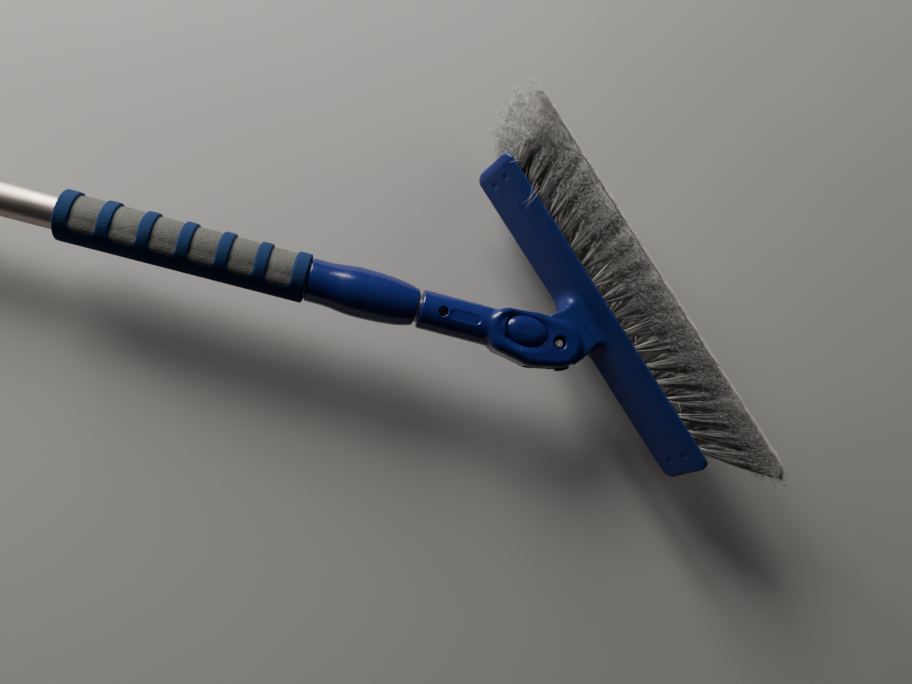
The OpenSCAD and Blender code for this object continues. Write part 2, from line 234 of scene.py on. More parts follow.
def polygon(x, y, corners):
    """Flat distance to a closed outline"""
    distance = np.full(np.broadcast(x, y).shape, 1e9)
    inside = np.zeros(distance.shape, bool)
    for (ax, ay), (bx, by) in zip(corners, corners[1:] + corners[:1]):
        ex, ey, wx, wy = bx - ax, by - ay, x - ax, y - ay
        t = np.clip((wx * ex + wy * ey) / (ex * ex + ey * ey), 0, 1)
        distance = np.minimum(distance, np.hypot(wx - ex * t, wy - ey * t))
        above, below, left = y >= ay, y < by, ex * wy > ey * wx
        inside ^= (above & below & left) | (~above & ~below & ~left)
    return np.where(inside, -distance, distance)


def slab(x, y, half, corner):
    """Flat rectangle with round corners"""
    return rounded(np.abs(x) - half[0], np.abs(y) - half[1], corner)


# ---------------------------------------------------------------- materials

class Shader:
    """A material's node tree with a Principled shader, and short calls for its nodes"""

    def __init__(self, name, **constants):
        self.material = bpy.data.materials.new(name)
        self.material.use_nodes = True
        self.tree = self.material.node_tree
        self.shader = self.tree.nodes["Principled BSDF"]
        for key, value in constants.items():
            self.shader.inputs[key.replace("_", " ")].default_value = value
        self.coordinates = self.tree.nodes.new("ShaderNodeTexCoord").outputs["Object"]

    def link(self, output, target):
        self.tree.links.new(output, target)

    def stretched(self, axis_scales, frame_matrix):
        """Object coordinates turned into a frame and scaled along its axes"""
        node = self.tree.nodes.new("ShaderNodeMapping")
        node.vector_type = "POINT"
        node.inputs["Rotation"].default_value = frame_matrix.inverted().to_euler()
        self.link(self.coordinates, node.inputs["Vector"])
        scale = self.tree.nodes.new("ShaderNodeVectorMath")
        scale.operation = "MULTIPLY"
        scale.inputs[1].default_value = axis_scales
        self.link(node.outputs["Vector"], scale.inputs[0])
        return scale.outputs["Vector"]

    def noise(self, scale, detail=3.0, vector=None, roughness=0.5):
        node = self.tree.nodes.new("ShaderNodeTexNoise")
        node.inputs["Scale"].default_value = scale
        node.inputs["Detail"].default_value = detail
        node.inputs["Roughness"].default_value = roughness
        self.link(vector or self.coordinates, node.inputs["Vector"])
        return node.outputs["Fac"]

    def cells(self, scale, vector=None):
        node = self.tree.nodes.new("ShaderNodeTexVoronoi")
        node.inputs["Scale"].default_value = scale
        self.link(vector or self.coordinates, node.inputs["Vector"])
        return node.outputs["Distance"]

    def remap(self, value, low, high, to_low, to_high):
        node = self.tree.nodes.new("ShaderNodeMapRange")
        for key, number in zip(("From Min", "From Max", "To Min", "To Max"), (low, high, to_low, to_high)):
            node.inputs[key].default_value = number
        self.link(value, node.inputs["Value"])
        return node.outputs["Result"]

    def colours(self, value, *stops):
        """Colour ramp: stops are (position, (r, g, b))"""
        node = self.tree.nodes.new("ShaderNodeValToRGB")
        elements = node.color_ramp.elements
        while len(elements) < len(stops):
            elements.new(0.5)
        for element, (position, colour) in zip(elements, stops):
            element.position = position
            element.color = (*colour, 1)
        self.link(value, node.inputs["Fac"])
        return node.outputs["Color"]

    def mix(self, factor, a, b):
        """Colour between a and b. The node's inputs 0, 6 and 7 are the factor and the two colours"""
        node = self.tree.nodes.new("ShaderNodeMix")
        node.data_type = "RGBA"
        for value, key in ((factor, 0), (a, 6), (b, 7)):
            if hasattr(value, "is_linked"):
                self.link(value, node.inputs[key])
            else:
                node.inputs[key].default_value = value if key == 0 else (*value, 1)
        return node.outputs[2]

    def maths(self, operation, a, b):
        node = self.tree.nodes.new("ShaderNodeMath")
        node.operation = operation
        for value, target in zip((a, b), node.inputs):
            if hasattr(value, "is_linked"):
                self.link(value, target)
            else:
                target.default_value = value
        return node.outputs[0]

    def bump(self, height, distance, strength=1.0):
        node = self.tree.nodes.new("ShaderNodeBump")
        node.inputs["Distance"].default_value = distance
        node.inputs["Strength"].default_value = strength
        previous = self.shader.inputs["Normal"]
        if previous.is_linked:
            self.link(previous.links[0].from_socket, node.inputs["Normal"])
        self.link(height, node.inputs["Height"])
        self.link(node.outputs["Normal"], previous)


def moulded_plastic(name, dark, light, rough, coat):
    """Moulded plastic: slight clouding, a fine skin, hairline scuffs and specks of dust"""
    s = Shader(name, Coat_Weight=coat, Coat_Roughness=0.06, IOR=1.48)
    base = s.colours(s.noise(9, 4), (0.3, dark), (0.7, light))
    scuffs = s.noise(160, 2, s.stretched((1, 0.05, 1), POLE), 0.7)
    specks = s.remap(s.cells(260), 0.05, 0.1, 1, 0)
    specks = s.maths("MULTIPLY", specks, s.remap(s.noise(30, 1), 0.62, 0.7, 0, 0.35))
    base = s.mix(specks, base, (0.45, 0.47, 0.5))
    s.link(base, s.shader.inputs["Base Color"])
    rough_map = s.remap(scuffs, 0.45, 0.75, rough, rough + 0.14)
    s.link(s.maths("ADD", rough_map, s.remap(specks, 0, 1, 0, 0.3)), s.shader.inputs["Roughness"])
    s.bump(s.noise(420, 2), 0.00004, 0.5)
    s.bump(s.noise(45, 2), 0.0003, 0.25)
    return s.material


def foam(name, dark, light, speck):
    """Closed-cell foam: fine cells, a slightly fuzzy skin and worn lighter patches"""
    s = Shader(name, Sheen_Weight=0.03, Sheen_Roughness=0.6, Specular_IOR_Level=0.25)
    grain = s.noise(1500, 3, None, 0.7)
    base = s.colours(grain, (0.3, dark), (0.72, light))
    worn = s.remap(s.noise(38, 4), 0.5, 0.75, 0, 0.45)
    base = s.mix(worn, base, speck)
    s.link(base, s.shader.inputs["Base Color"])
    s.link(s.remap(grain, 0.2, 0.8, 0.95, 0.78), s.shader.inputs["Roughness"])
    s.bump(s.cells(1100), 0.0004, 0.6)
    s.bump(s.noise(300, 3), 0.0006, 0.5)
    return s.material


def polished_metal(name, colour, rough, brushed_along):
    """Bright metal with long drawing marks, faint smudges and a little spread in its gloss"""
    s = Shader(name, Metallic=1.0)
    marks = s.noise(900, 4, s.stretched(brushed_along, POLE), 0.65)
    smudge = s.noise(24, 3)
    tint = tuple(c * 0.82 for c in colour)
    s.link(s.colours(smudge, (0.35, colour), (0.75, tint)), s.shader.inputs["Base Color"])
    total = s.maths("ADD", s.remap(marks, 0.3, 0.7, rough, rough + 0.08),
                    s.remap(smudge, 0.5, 0.8, 0, 0.1))
    s.link(total, s.shader.inputs["Roughness"])
    s.bump(marks, 0.00002, 0.3)
    return s.material


def bristle_fibre(name):
    """Split synthetic fibre coloured by each point's shade: its fibre's own tone together with painted shade
    and light, from dark, painted shade deep in the brush, to near white, a painted highlight for the backlit
    cut ends at the rim, with finer unevenness along the hairs"""
    s = Shader(name, Roughness=0.5, IOR=1.45, Sheen_Weight=0.15, Subsurface_Weight=0.35,
               Subsurface_Radius=(0.002, 0.002, 0.0018), Subsurface_Scale=1.0)
    shade = s.tree.nodes.new("ShaderNodeAttribute")
    shade.attribute_name = "shade"
    # The near-white last stop is a painted highlight: the glow of the backlit rim of tips
    base = s.colours(shade.outputs["Fac"], (0.0, (0.014, 0.014, 0.013)), (0.45, (0.13, 0.132, 0.125)),
                     (0.75, (0.34, 0.33, 0.295)), (1.0, (0.96, 0.89, 0.81)))
    base = s.mix(s.remap(s.noise(900, 2), 0.45, 0.7, 0, 0.35), base, (0.22, 0.215, 0.2))
    s.link(base, s.shader.inputs["Base Color"])
    return s.material


def plain_moulding(name, dark, light, rough):
    """Matt moulded inner parts"""
    s = Shader(name)
    s.link(s.colours(s.noise(60, 4), (0.3, dark), (0.7, light)), s.shader.inputs["Base Color"])
    s.link(s.remap(s.noise(200, 3), 0.3, 0.7, rough, rough + 0.15), s.shader.inputs["Roughness"])
    s.bump(s.noise(900, 2), 0.00004, 0.4)
    return s.material


BLUE_GLOSS = moulded_plastic("blue_gloss", (0.009, 0.0165, 0.115), (0.011, 0.021, 0.14), 0.20, 0.2)
BLUE_BLOCK = moulded_plastic("blue_block", (0.010, 0.022, 0.125), (0.012, 0.027, 0.15), 0.36, 0.0)
BLUE_FOAM = foam("blue_foam", (0.001, 0.014, 0.058), (0.003, 0.036, 0.125), (0.006, 0.044, 0.138))
GREY_FOAM = foam("grey_foam", (0.05, 0.05, 0.045), (0.165, 0.163, 0.148), (0.17, 0.168, 0.155))
TUBE_METAL = polished_metal("polished_tube", (0.60, 0.53, 0.47), 0.36, (0.02, 1, 1))
ZINC = polished_metal("zinc", (0.93, 0.92, 0.90), 0.42, (1, 1, 1))
SPRING = polished_metal("spring_steel", (0.5, 0.5, 0.5), 0.3, (1, 1, 1))
BLACK_STEEL = polished_metal("black_steel", (0.035, 0.035, 0.036), 0.35, (1, 1, 1))
BRASS = polished_metal("brass", (0.7, 0.55, 0.3), 0.3, (1, 1, 1))
FIBRE = bristle_fibre("grey_bristle")
DARK_PLASTIC = plain_moulding("dark_plastic", (0.02, 0.02, 0.022), (0.035, 0.035, 0.038), 0.5)
ACETAL = plain_moulding("white_acetal", (0.68, 0.68, 0.66), (0.78, 0.78, 0.76), 0.4)

CAD_MATERIALS = {
    "thread_sleeve": DARK_PLASTIC, "collet": DARK_PLASTIC, "guide_bush": ACETAL,
    "pivot_bush": ACETAL, "pivot_washer": ZINC, "pivot_nut": ZINC,
    "button_spring": SPRING, "tuft_staples": BRASS,
}
for node, material in CAD_MATERIALS.items():
    mesh = frame["nodes"][node].data
    mesh.materials.clear()
    mesh.materials.append(material)


# ---------------------------------------------------------------- camera, floor and light

def look(position, target, up):
    """Matrix of a camera or light at position, turned to target"""
    back = (position - target).normalized()
    right = up.cross(back).normalized()
    return Matrix.Translation(position) @ Matrix((right, back.cross(right), back)).transposed().to_4x4()


def in_pole(x, y, z):
    return POLE @ (Vector((x, y, z)) * MM)


CAMERA_AT = (-172.2, -100.7, 553.3)
CAMERA_LOOKS_AT = (-80.3, -18.6, 0.0)
CAMERA_UP = (-0.2463, 0.9638, 0.1022)
LENS = 28.26

camera_data = bpy.data.cameras.new("camera")
camera_data.lens = LENS
camera_data.sensor_width = 36
camera_data.clip_start = 0.01
camera = bpy.data.objects.new("camera", camera_data)
bpy.context.scene.collection.objects.link(camera)
camera.matrix_world = look(in_pole(*CAMERA_AT), in_pole(*CAMERA_LOOKS_AT),
                           POLE.to_3x3() @ Vector(CAMERA_UP))
bpy.context.scene.camera = camera

FLOOR_HALF = 6.0
FLOOR_DARK, FLOOR_LIGHT = (0.37, 0.364, 0.354), (0.39, 0.384, 0.374)
FLOOR_CORNERS = [(x * FLOOR_HALF, y * FLOOR_HALF, 0) for x, y in ((-1, -1), (1, -1), (1, 1), (-1, 1))]

floor_mesh = bpy.data.meshes.new("floor")
floor_mesh.from_pydata(FLOOR_CORNERS, [], [(0, 1, 2, 3)])
floor = bpy.data.objects.new("floor", floor_mesh)
bpy.context.scene.collection.objects.link(floor)
floor_shader = Shader("floor_paint", Roughness=0.9)
floor_colour = floor_shader.colours(floor_shader.noise(3, 2), (0.3, FLOOR_DARK), (0.7, FLOOR_LIGHT))
floor_shader.link(floor_colour, floor_shader.shader.inputs["Base Color"])
floor_mesh.materials.append(floor_shader.material)


def area_light(name, position, size, watts, colour):
    """A rectangular lamp at a place in the pole frame, turned to LIGHTS_AIM; size in metres"""
    data = bpy.data.lights.new(name, "AREA")
    data.shape = "RECTANGLE"
    data.size, data.size_y = size
    data.energy = watts
    data.color = colour
    light = bpy.data.objects.new(name, data)
    bpy.context.scene.collection.objects.link(light)
    light.matrix_world = look(in_pole(*position), in_pole(*LIGHTS_AIM), Vector(LIGHTS_UP))
    return light


LIGHTS_AIM, LIGHTS_UP = (-100, 0, 0), (0.1, 0.2, 1)
DAYLIGHT_AT = {"window_left": (-1120, 800, 520), "window_right": (-760, 1090, 520)}
for name, position in DAYLIGHT_AT.items():
    area_light(name, position, (0.34, 0.8), 17, (1.0, 0.98, 0.95))
door_light = area_light("door_light", (900, 1050, 600), (1.2, 0.8), 4.5, (1.0, 0.95, 0.9))
# Kept out of reflections, where it would show in the button and in the dish round it
door_light.visible_glossy = False

WORLD_COLOUR, WORLD_STRENGTH = (0.85, 0.92, 1.0, 1), 0.03
world = bpy.data.worlds.new("world")
world.use_nodes = True
world.node_tree.nodes["Background"].inputs["Color"].default_value = WORLD_COLOUR
world.node_tree.nodes["Background"].inputs["Strength"].default_value = WORLD_STRENGTH
bpy.context.scene.world = world


# ---------------------------------------------------------------- pole and grip

OUTER_R, INNER_R, WALL = 12.7, 11.1, 1.2
TUBE_EDGE = 0.25


def tube(name, node, radius, body):
    """A drawn tube with its two edges broken"""
    start, end = along_pole(node)
    edge = TUBE_EDGE
    inside = radius - WALL
    profile = [(start + edge, inside), (start, inside + edge)]
    profile += [(start, radius - edge), (start + edge, radius)]
    profile += [(start + (end - start) * i / 12, radius) for i in range(1, 12)]
    profile += [(end - edge, radius), (end, radius - edge), (end, inside + edge), (end - edge, inside)]
    return turned(name, profile, body, [node], TUBE_METAL)


tube("outer_tube_drawn", "outer_tube", OUTER_R, "pole")
tube("inner_tube_drawn", "inner_tube", INNER_R, "neck")

GRIP_R, CORE_R = 19.2, 17.3
GRIP_START, GRIP_END = along_pole("grip_sleeve")
WINDOWS = 6
END_BAND, RIB_W = 10.4, 8.4
WINDOW_W = (GRIP_END - GRIP_START - 2 * END_BAND - (WINDOWS - 1) * RIB_W) / WINDOWS
WINDOW_MID, WINDOW_HALF = math.radians(57), math.radians(100)
# A window's grey foam rises to the blue between these distances from its lower end
LOWER_RISE = (11, 2)
SLEEVE_BORE = 15.6
GRIP_END_R = 1.6
GRIP_STEP = 0.48


def window_distance(x, angle):
    """Distance to the nearest window's edge over the foam's surface, negative in a window; the
    place across that window; and how near its lower end is, from 0 to 1"""
    pitch = WINDOW_W + RIB_W
    first = GRIP_START + END_BAND + WINDOW_W / 2
    number = np.clip(np.round((x - first) / pitch), 0, WINDOWS - 1)
    across = x - first - number * pitch
    away = (angle - WINDOW_MID + math.pi) % (2 * math.pi) - math.pi
    reach = WINDOW_HALF * GRIP_R
    lower = ramp(-away * GRIP_R, reach - LOWER_RISE[0], reach - LOWER_RISE[1])
    edge = slab(across, away * GRIP_R, (WINDOW_W / 2, reach), 0.8 * WINDOW_W / 2)
    return edge, across, lower


def foam_tube(name, node, radius_at, inside, material):
    """Foam with a surface of its own over x and the angle from +Z towards +Y"""
    steps = int((GRIP_END - GRIP_START) / GRIP_STEP)
    sides = int(2 * math.pi * GRIP_R / GRIP_STEP)
    xs = np.linspace(GRIP_START, GRIP_END, steps + 1)
    angles = np.linspace(0, 2 * math.pi, sides, endpoint=False)
    x, a = np.meshgrid(xs, angles, indexing="ij")
    radius = radius_at(x, a)
    end = np.minimum(x - GRIP_START, GRIP_END - x)
    round_end = np.maximum(GRIP_END_R ** 2 - np.maximum(GRIP_END_R - end, 0) ** 2, 0)
    radius = radius - GRIP_END_R + np.sqrt(round_end)
    outer = np.stack([x, radius * np.sin(a), radius * np.cos(a)], -1).reshape(-1, 3)
    inner = turned_points([(GRIP_END, inside), (GRIP_START, inside)], sides)
    faces = ring_faces(steps + 3, sides, True)
    return new_piece(name, np.concatenate([outer, inner]), faces, POLE, "pole", [node], material)


rng = np.random.default_rng(SEED)


def pitted(x, angle, depth):
    """Shallow uneven dents of a hand-worn foam skin"""
    waves = np.zeros_like(x)
    for _ in range(14):
        kx, ka = rng.normal(0, 0.45), rng.integers(-9, 10)
        waves += np.sin(kx * x + ka * angle + rng.uniform(0, 6.3))
    return depth * waves / 14 + depth * 0.5 * rng.normal(size=x.shape)


def blue_radius(x, angle):
    """The blue foam: ribs between the windows, with a slope down into each window"""
    d, across, _ = window_distance(x, angle)
    crown = 0.2 * ramp(d, 0, 3)
    slope = 0.5 + 0.9 * ramp(across, -3, 6)
    return CORE_R - 0.7 + (GRIP_R - 0.2 - CORE_R + 0.7) * ramp(d, -slope, 0.35) + crown \
        + pitted(x, angle, 0.06)


def grey_radius(x, angle):
    """The grey foam: a slight bulge in each window, sunk out of sight elsewhere"""
    d, _, lower = window_distance(x, angle)
    bulge = 0.45 * ramp(-d, 0, 6)
    level = bulge + lower * (GRIP_R - 0.1 - CORE_R - bulge)
    return CORE_R - 0.35 + level + pitted(x, angle, 0.08) - (1.2 + 1.6 * lower) * ramp(d, 0.3, 1.2)


foam_tube("grip_blue_foam", "grip_sleeve", blue_radius, SLEEVE_BORE, BLUE_FOAM)
foam_tube("grip_grey_foam", "grip_core", grey_radius, OUTER_R, GREY_FOAM)


# ---------------------------------------------------------------- lock collar

COLLAR_START, COLLAR_END = along_pole("lock_collar")
COLLAR_REAR_R, COLLAR_MAX_R, COLLAR_FRONT_R = 17.0, 19.5, 12.6
COLLAR_WIDEST, COLLAR_TAPER = 42, 43.5
COLLAR_EDGE, COLLAR_NOSE = 1.2, 3
# The bore from the nose backwards: clear of the inner tube, over the collet, over the thread
COLLAR_BORE, COLLET_BORE, THREAD_BORE = 11.6, 13.0, 14.65


def collar_radius(d):
    """Radius of the barrel at a distance in front of its rear face"""
    if d < COLLAR_WIDEST:
        return COLLAR_REAR_R + (COLLAR_MAX_R - COLLAR_REAR_R) * float(ramp(d, 12, 38))
    fall = math.sqrt(max(1 - ((d - COLLAR_WIDEST) / COLLAR_TAPER) ** 2, 0))
    return COLLAR_FRONT_R + (COLLAR_MAX_R - COLLAR_FRONT_R) * fall


def lock_collar():
    """The barrel, from its rounded rear edge over its widest place to its rounded nose"""
    length = COLLAR_END - COLLAR_START
    nose = length - COLLAR_NOSE
    outside = arc(COLLAR_EDGE, COLLAR_REAR_R - COLLAR_EDGE, COLLAR_EDGE, 180, 90)
    outside += [(d, collar_radius(d)) for d in np.linspace(2.4, nose, 60)]
    nose_r = collar_radius(nose)
    outside += [(nose + COLLAR_NOSE * math.sin(a), nose_r - 2.4 * (1 - math.cos(a)))
                for a in np.linspace(0.25, math.pi / 2, 8)]
    inside = [(length, COLLAR_BORE), (length - 18, COLLAR_BORE), (length - 20, COLLET_BORE)]
    inside += [(38, 14.5), (37, THREAD_BORE), (0, THREAD_BORE)]
    profile = [(COLLAR_START + x, r) for x, r in outside + inside]
    turned("lock_collar_barrel", profile, "collar", ["lock_collar"], BLUE_GLOSS, 160)


lock_collar()


# ---------------------------------------------------------------- end cap

def end_cap():
    """A plug over the tube's end, with a flat eye to hang the pole by"""
    rear, front = along_pole("end_cap")
    eye_x, eye_r, eye_half, hole_r = rear + 11, 11, 5, 4
    cap_x, cap_r = rear + 25, 13.9
    tube_x = cap_x + 15

    def field(x, y, z):
        radial = np.hypot(y, z)
        cap = rounded(radial - cap_r, np.abs(x - (cap_x + front) / 2) - (front - cap_x) / 2, 2.2)
        eye = rounded(limb(x, y, (eye_x, 0, eye_r), (cap_x + 4, 0, eye_r)), np.abs(z) - eye_half, 1.5)
        shape = joined(cap, eye, 3)
        shape = cut_away(shape, np.hypot(x - eye_x, y) - hole_r, 1.2)
        return np.maximum(shape, -np.maximum(radial - OUTER_R, tube_x - x))

    points, faces = field_mesh(field, (rear - 2, -16, -16), (front + 2, 16, 16), (0.8, 0.6, 0.6))
    new_piece("end_cap_eye", points, faces, POLE, "pole", ["end_cap"], BLUE_GLOSS)


end_cap()


# ---------------------------------------------------------------- neck and knuckle

BUTTON_MID, BUTTON_HALF, BUTTON_GAP = (-29, 2.5), (18, 12), 0.35
KNUCKLE = ((0, 0, 20), (-20, -2, 22), (-43, -1, 18.6))
FORK_X, FORK_HALF = -22.6, 4.8
SHELL_TOP, SHELL_FALL, DISH_Z, KNUCKLE_LOW = 16.2, 3.8, 11.2, 12.0
SOCKET_R = 15.5
SOCKET_START, SOCKET_BOTTOM = -115, -68
FIX_SCREW_X, FIX_SCREW_R, FIX_SEAT_Z = -97.5, 3.7, 12.8
PIN_SEAT_Z, PIN_WELL_R, PIN_R = 7.2, 5.3, 2.1
NUT_SEAT_Z, NUT_WELL_R = -7.4, 4.8
GROOVE, GROOVE_DEPTH = ((-88, 0, 3.5), (-71, 0, 3.5)), 0.9


def neck_field(x, y, z):
    """Socket and knuckle in one, with the dish, button well, fork, screw seats and tube bore cut"""
    radial, from_pin = np.hypot(y, z), np.hypot(x, y)
    socket_half = (-45 - SOCKET_START) / 2
    socket = rounded(radial - SOCKET_R, np.abs(x - SOCKET_START - socket_half) - socket_half, 1.8)
    outline = np.minimum(limb(x, y, *KNUCKLE[:2]), limb(x, y, *KNUCKLE[1:]))
    plateau = SHELL_TOP - SHELL_FALL * ramp(x, -52, -4)
    dish = oval(x, y, BUTTON_MID, (BUTTON_HALF[0] + 8.5, BUTTON_HALF[1] + 6))
    plateau = plateau + (DISH_Z - plateau) * ramp(-dish, 0, 8)
    knuckle = rounded(outline, np.maximum(z - plateau, -KNUCKLE_LOW - z), 6.5)
    shape = joined(socket, knuckle, 2.5)
    button = oval(x, y, BUTTON_MID, (BUTTON_HALF[0] + BUTTON_GAP, BUTTON_HALF[1] + BUTTON_GAP))
    shape = np.maximum(shape, -np.maximum(button, -z))
    well = np.maximum(np.abs(x + 36.5) - 14, np.abs(y - BUTTON_MID[1]) - 13.5)
    shape = np.maximum(shape, -np.maximum(well, np.maximum(z - FORK_HALF, -8 - z)))
    shape = cut_away(shape, np.maximum(FORK_X - x, np.abs(z) - FORK_HALF), 0.8)
    shape = cut_away(shape, np.maximum(from_pin - PIN_WELL_R, PIN_SEAT_Z - z), 1.4)
    shape = cut_away(shape, np.maximum(from_pin - NUT_WELL_R, z - NUT_SEAT_Z), 0.8)
    shape = np.maximum(shape, PIN_R - from_pin)
    fix = np.hypot(x - FIX_SCREW_X, y)
    shape = cut_away(shape, np.maximum(fix - FIX_SCREW_R, FIX_SEAT_Z - z), 0.8)
    shape = np.maximum(shape, -np.maximum(fix - 1.6, -z))
    groove = limb(x, y, *GROOVE)
    shape = cut_away(shape, np.maximum(groove, SOCKET_R - GROOVE_DEPTH - z), 1.2)
    return np.maximum(shape, -np.maximum(radial - INNER_R, x - SOCKET_BOTTOM))


points, faces = field_mesh(neck_field, (-117, -27, -18), (23, 24, 18), (0.6, 0.6, 0.6))
new_piece("neck_moulding", points, faces, POLE, "neck", ["neck_housing"], BLUE_GLOSS)


def release_button():
    """Domed oval cap, with the flange and tooth below it"""
    top, edge, skirt = 15.2, 11.2, 9.1

    def field(x, y, z):
        flat = oval(x, y, BUTTON_MID, BUTTON_HALF)
        reach = np.clip(-flat / 9.5, 0, 1)
        crown = edge + (top - edge) * np.maximum(1 - (1 - reach) ** 2, 0) ** 0.8
        dome = np.maximum(rounded(flat, z - crown, 0.5), skirt - z)
        stem = np.maximum(np.abs(x + 34.5) - 8.5, np.abs(y - BUTTON_MID[1]) - 8)
        stem = np.maximum(stem, np.abs(z - 6) - 4.4)
        flange = np.maximum(np.abs(x + 37.2) - 12.2, np.abs(y - BUTTON_MID[1]) - 13)
        flange = np.maximum(flange, np.abs(z - 3) - 1.4)
        tooth = np.maximum(np.hypot(x + 24.9, y) - 2.6, np.abs(z - 2) - 1.6)
        return np.minimum(np.minimum(dome, stem), np.minimum(flange, tooth))

    points, faces = field_mesh(field, (-51, -13, -1), (-9, 18, 17), (0.4, 0.4, 0.4))
    new_piece("release_button_dome", points, faces, POLE, "button", ["release_button"], BLUE_GLOSS)


release_button()


CROSS_HALF, CROSS_DEPTH, SCREW_CELL = 0.42, 1.1, 0.15


def screw(name, node, x, seat, head_r, head_h, shank_r, shank_end, recess, material):
    """Pan-head screw with a cross recess, along the pin's direction at x on the pole"""
    def field(px, py, pz):
        r = np.hypot(px - x, py)
        crown = seat + head_h - 0.045 * r ** 2
        head = rounded(r - head_r, np.maximum(pz - crown, seat - pz), 0.35)
        shank = np.maximum(r - shank_r, np.maximum(pz - seat - 0.5, shank_end - pz))
        dx, dy = np.abs(px - x), np.abs(py)
        cross = np.minimum(np.maximum(dx - CROSS_HALF, dy - recess), np.maximum(dy - CROSS_HALF, dx - recess))
        return cut_away(np.minimum(head, shank), np.maximum(cross, seat + head_h - CROSS_DEPTH - pz), 0.25)

    low = (x - head_r - 0.5, -head_r - 0.5, shank_end - 0.5)
    high = (x + head_r + 0.5, head_r + 0.5, seat + head_h + 0.5)
    points, faces = field_mesh(field, low, high, (SCREW_CELL,) * 3)
    new_piece(name, points, faces, POLE, "neck", [node], material)


screw("pivot_screw_head", "pivot_screw", 0, PIN_SEAT_Z, 3.4, 2.8, PIN_R, -11, 1.9, ZINC)
screw("neck_screw_head", "neck_screw", FIX_SCREW_X, FIX_SEAT_Z, 3.0, 1.7, 1.6, 8.4, 1.6, BLACK_STEEL)


# ---------------------------------------------------------------- brush block

BLOCK_HALF = (23.0, 154.5)
BLOCK_T = 11.5
CORNER = 9.0
TONGUE_R, TONGUE_HALF, HUB_R, FLANGE_LOW = 22.0, 4.4, 18.0, -0.3
ARM_U, ARM_FOOT = 24.6, (-20, -4)
BUSH_BORE = 4.05
NOTCH_R, NOTCH_OUT = 2.9, 0.4
DIMPLE_X, DIMPLE_IN, DIMPLE_Z, DIMPLE_R = 7.4, 17, 1.7, 2.8
ROW_GAP, TUFT_GAP, TUFTS = 8.3, 16.3, 18
HOLE_R, HOLE_DEPTH = 2.4, 7.5
# The edge above the outer row is cut back below the face, and that row's holes flare out of it
UNDERCUT, UNDERCUT_AT = (0.758, -0.652), (23.0, -2.4)
OUTER_ROOT, OUTER_WAY = (18.4, -8.0), (0.53, 0.85)


def on_arm(x, z):
    """Where a point across the block and above its face is, in the head frame's side view"""
    return (BLOCK_U + x * math.cos(BLOCK_LEAN) - z * math.sin(BLOCK_LEAN),
            BLOCK_Z + x * math.sin(BLOCK_LEAN) + z * math.cos(BLOCK_LEAN))


def inset(corners, gap):
    """An outline with every side moved in by gap"""
    sides = []
    for (ax, ay), (bx, by) in zip(corners, corners[1:] + corners[:1]):
        length = math.hypot(bx - ax, by - ay)
        nx, ny = (by - ay) / length, (ax - bx) / length
        sides.append((nx, ny, nx * ax + ny * ay + gap))
    inner = []
    for (a, b, c), (d, e, f) in zip(sides[-1:] + sides[:-1], sides):
        det = a * e - b * d
        inner.append(((c * e - b * f) / det, (a * f - c * d) / det))
    return inner


# The arm's outline seen from the side, from the tongue down into the block and back
ARM = [(TONGUE_R - 9, TONGUE_HALF), (TONGUE_R, TONGUE_HALF), on_arm(ARM_FOOT[1], 0),
       on_arm(ARM_FOOT[1], -6), on_arm(ARM_FOOT[0], -6), on_arm(ARM_FOOT[0], 0), (ARM_U, -11.5),
       (ARM_U, -TONGUE_HALF), (TONGUE_R - 9, -TONGUE_HALF)]
ARM_EDGE = 2.4
ARM_CORE = inset(ARM, ARM_EDGE)


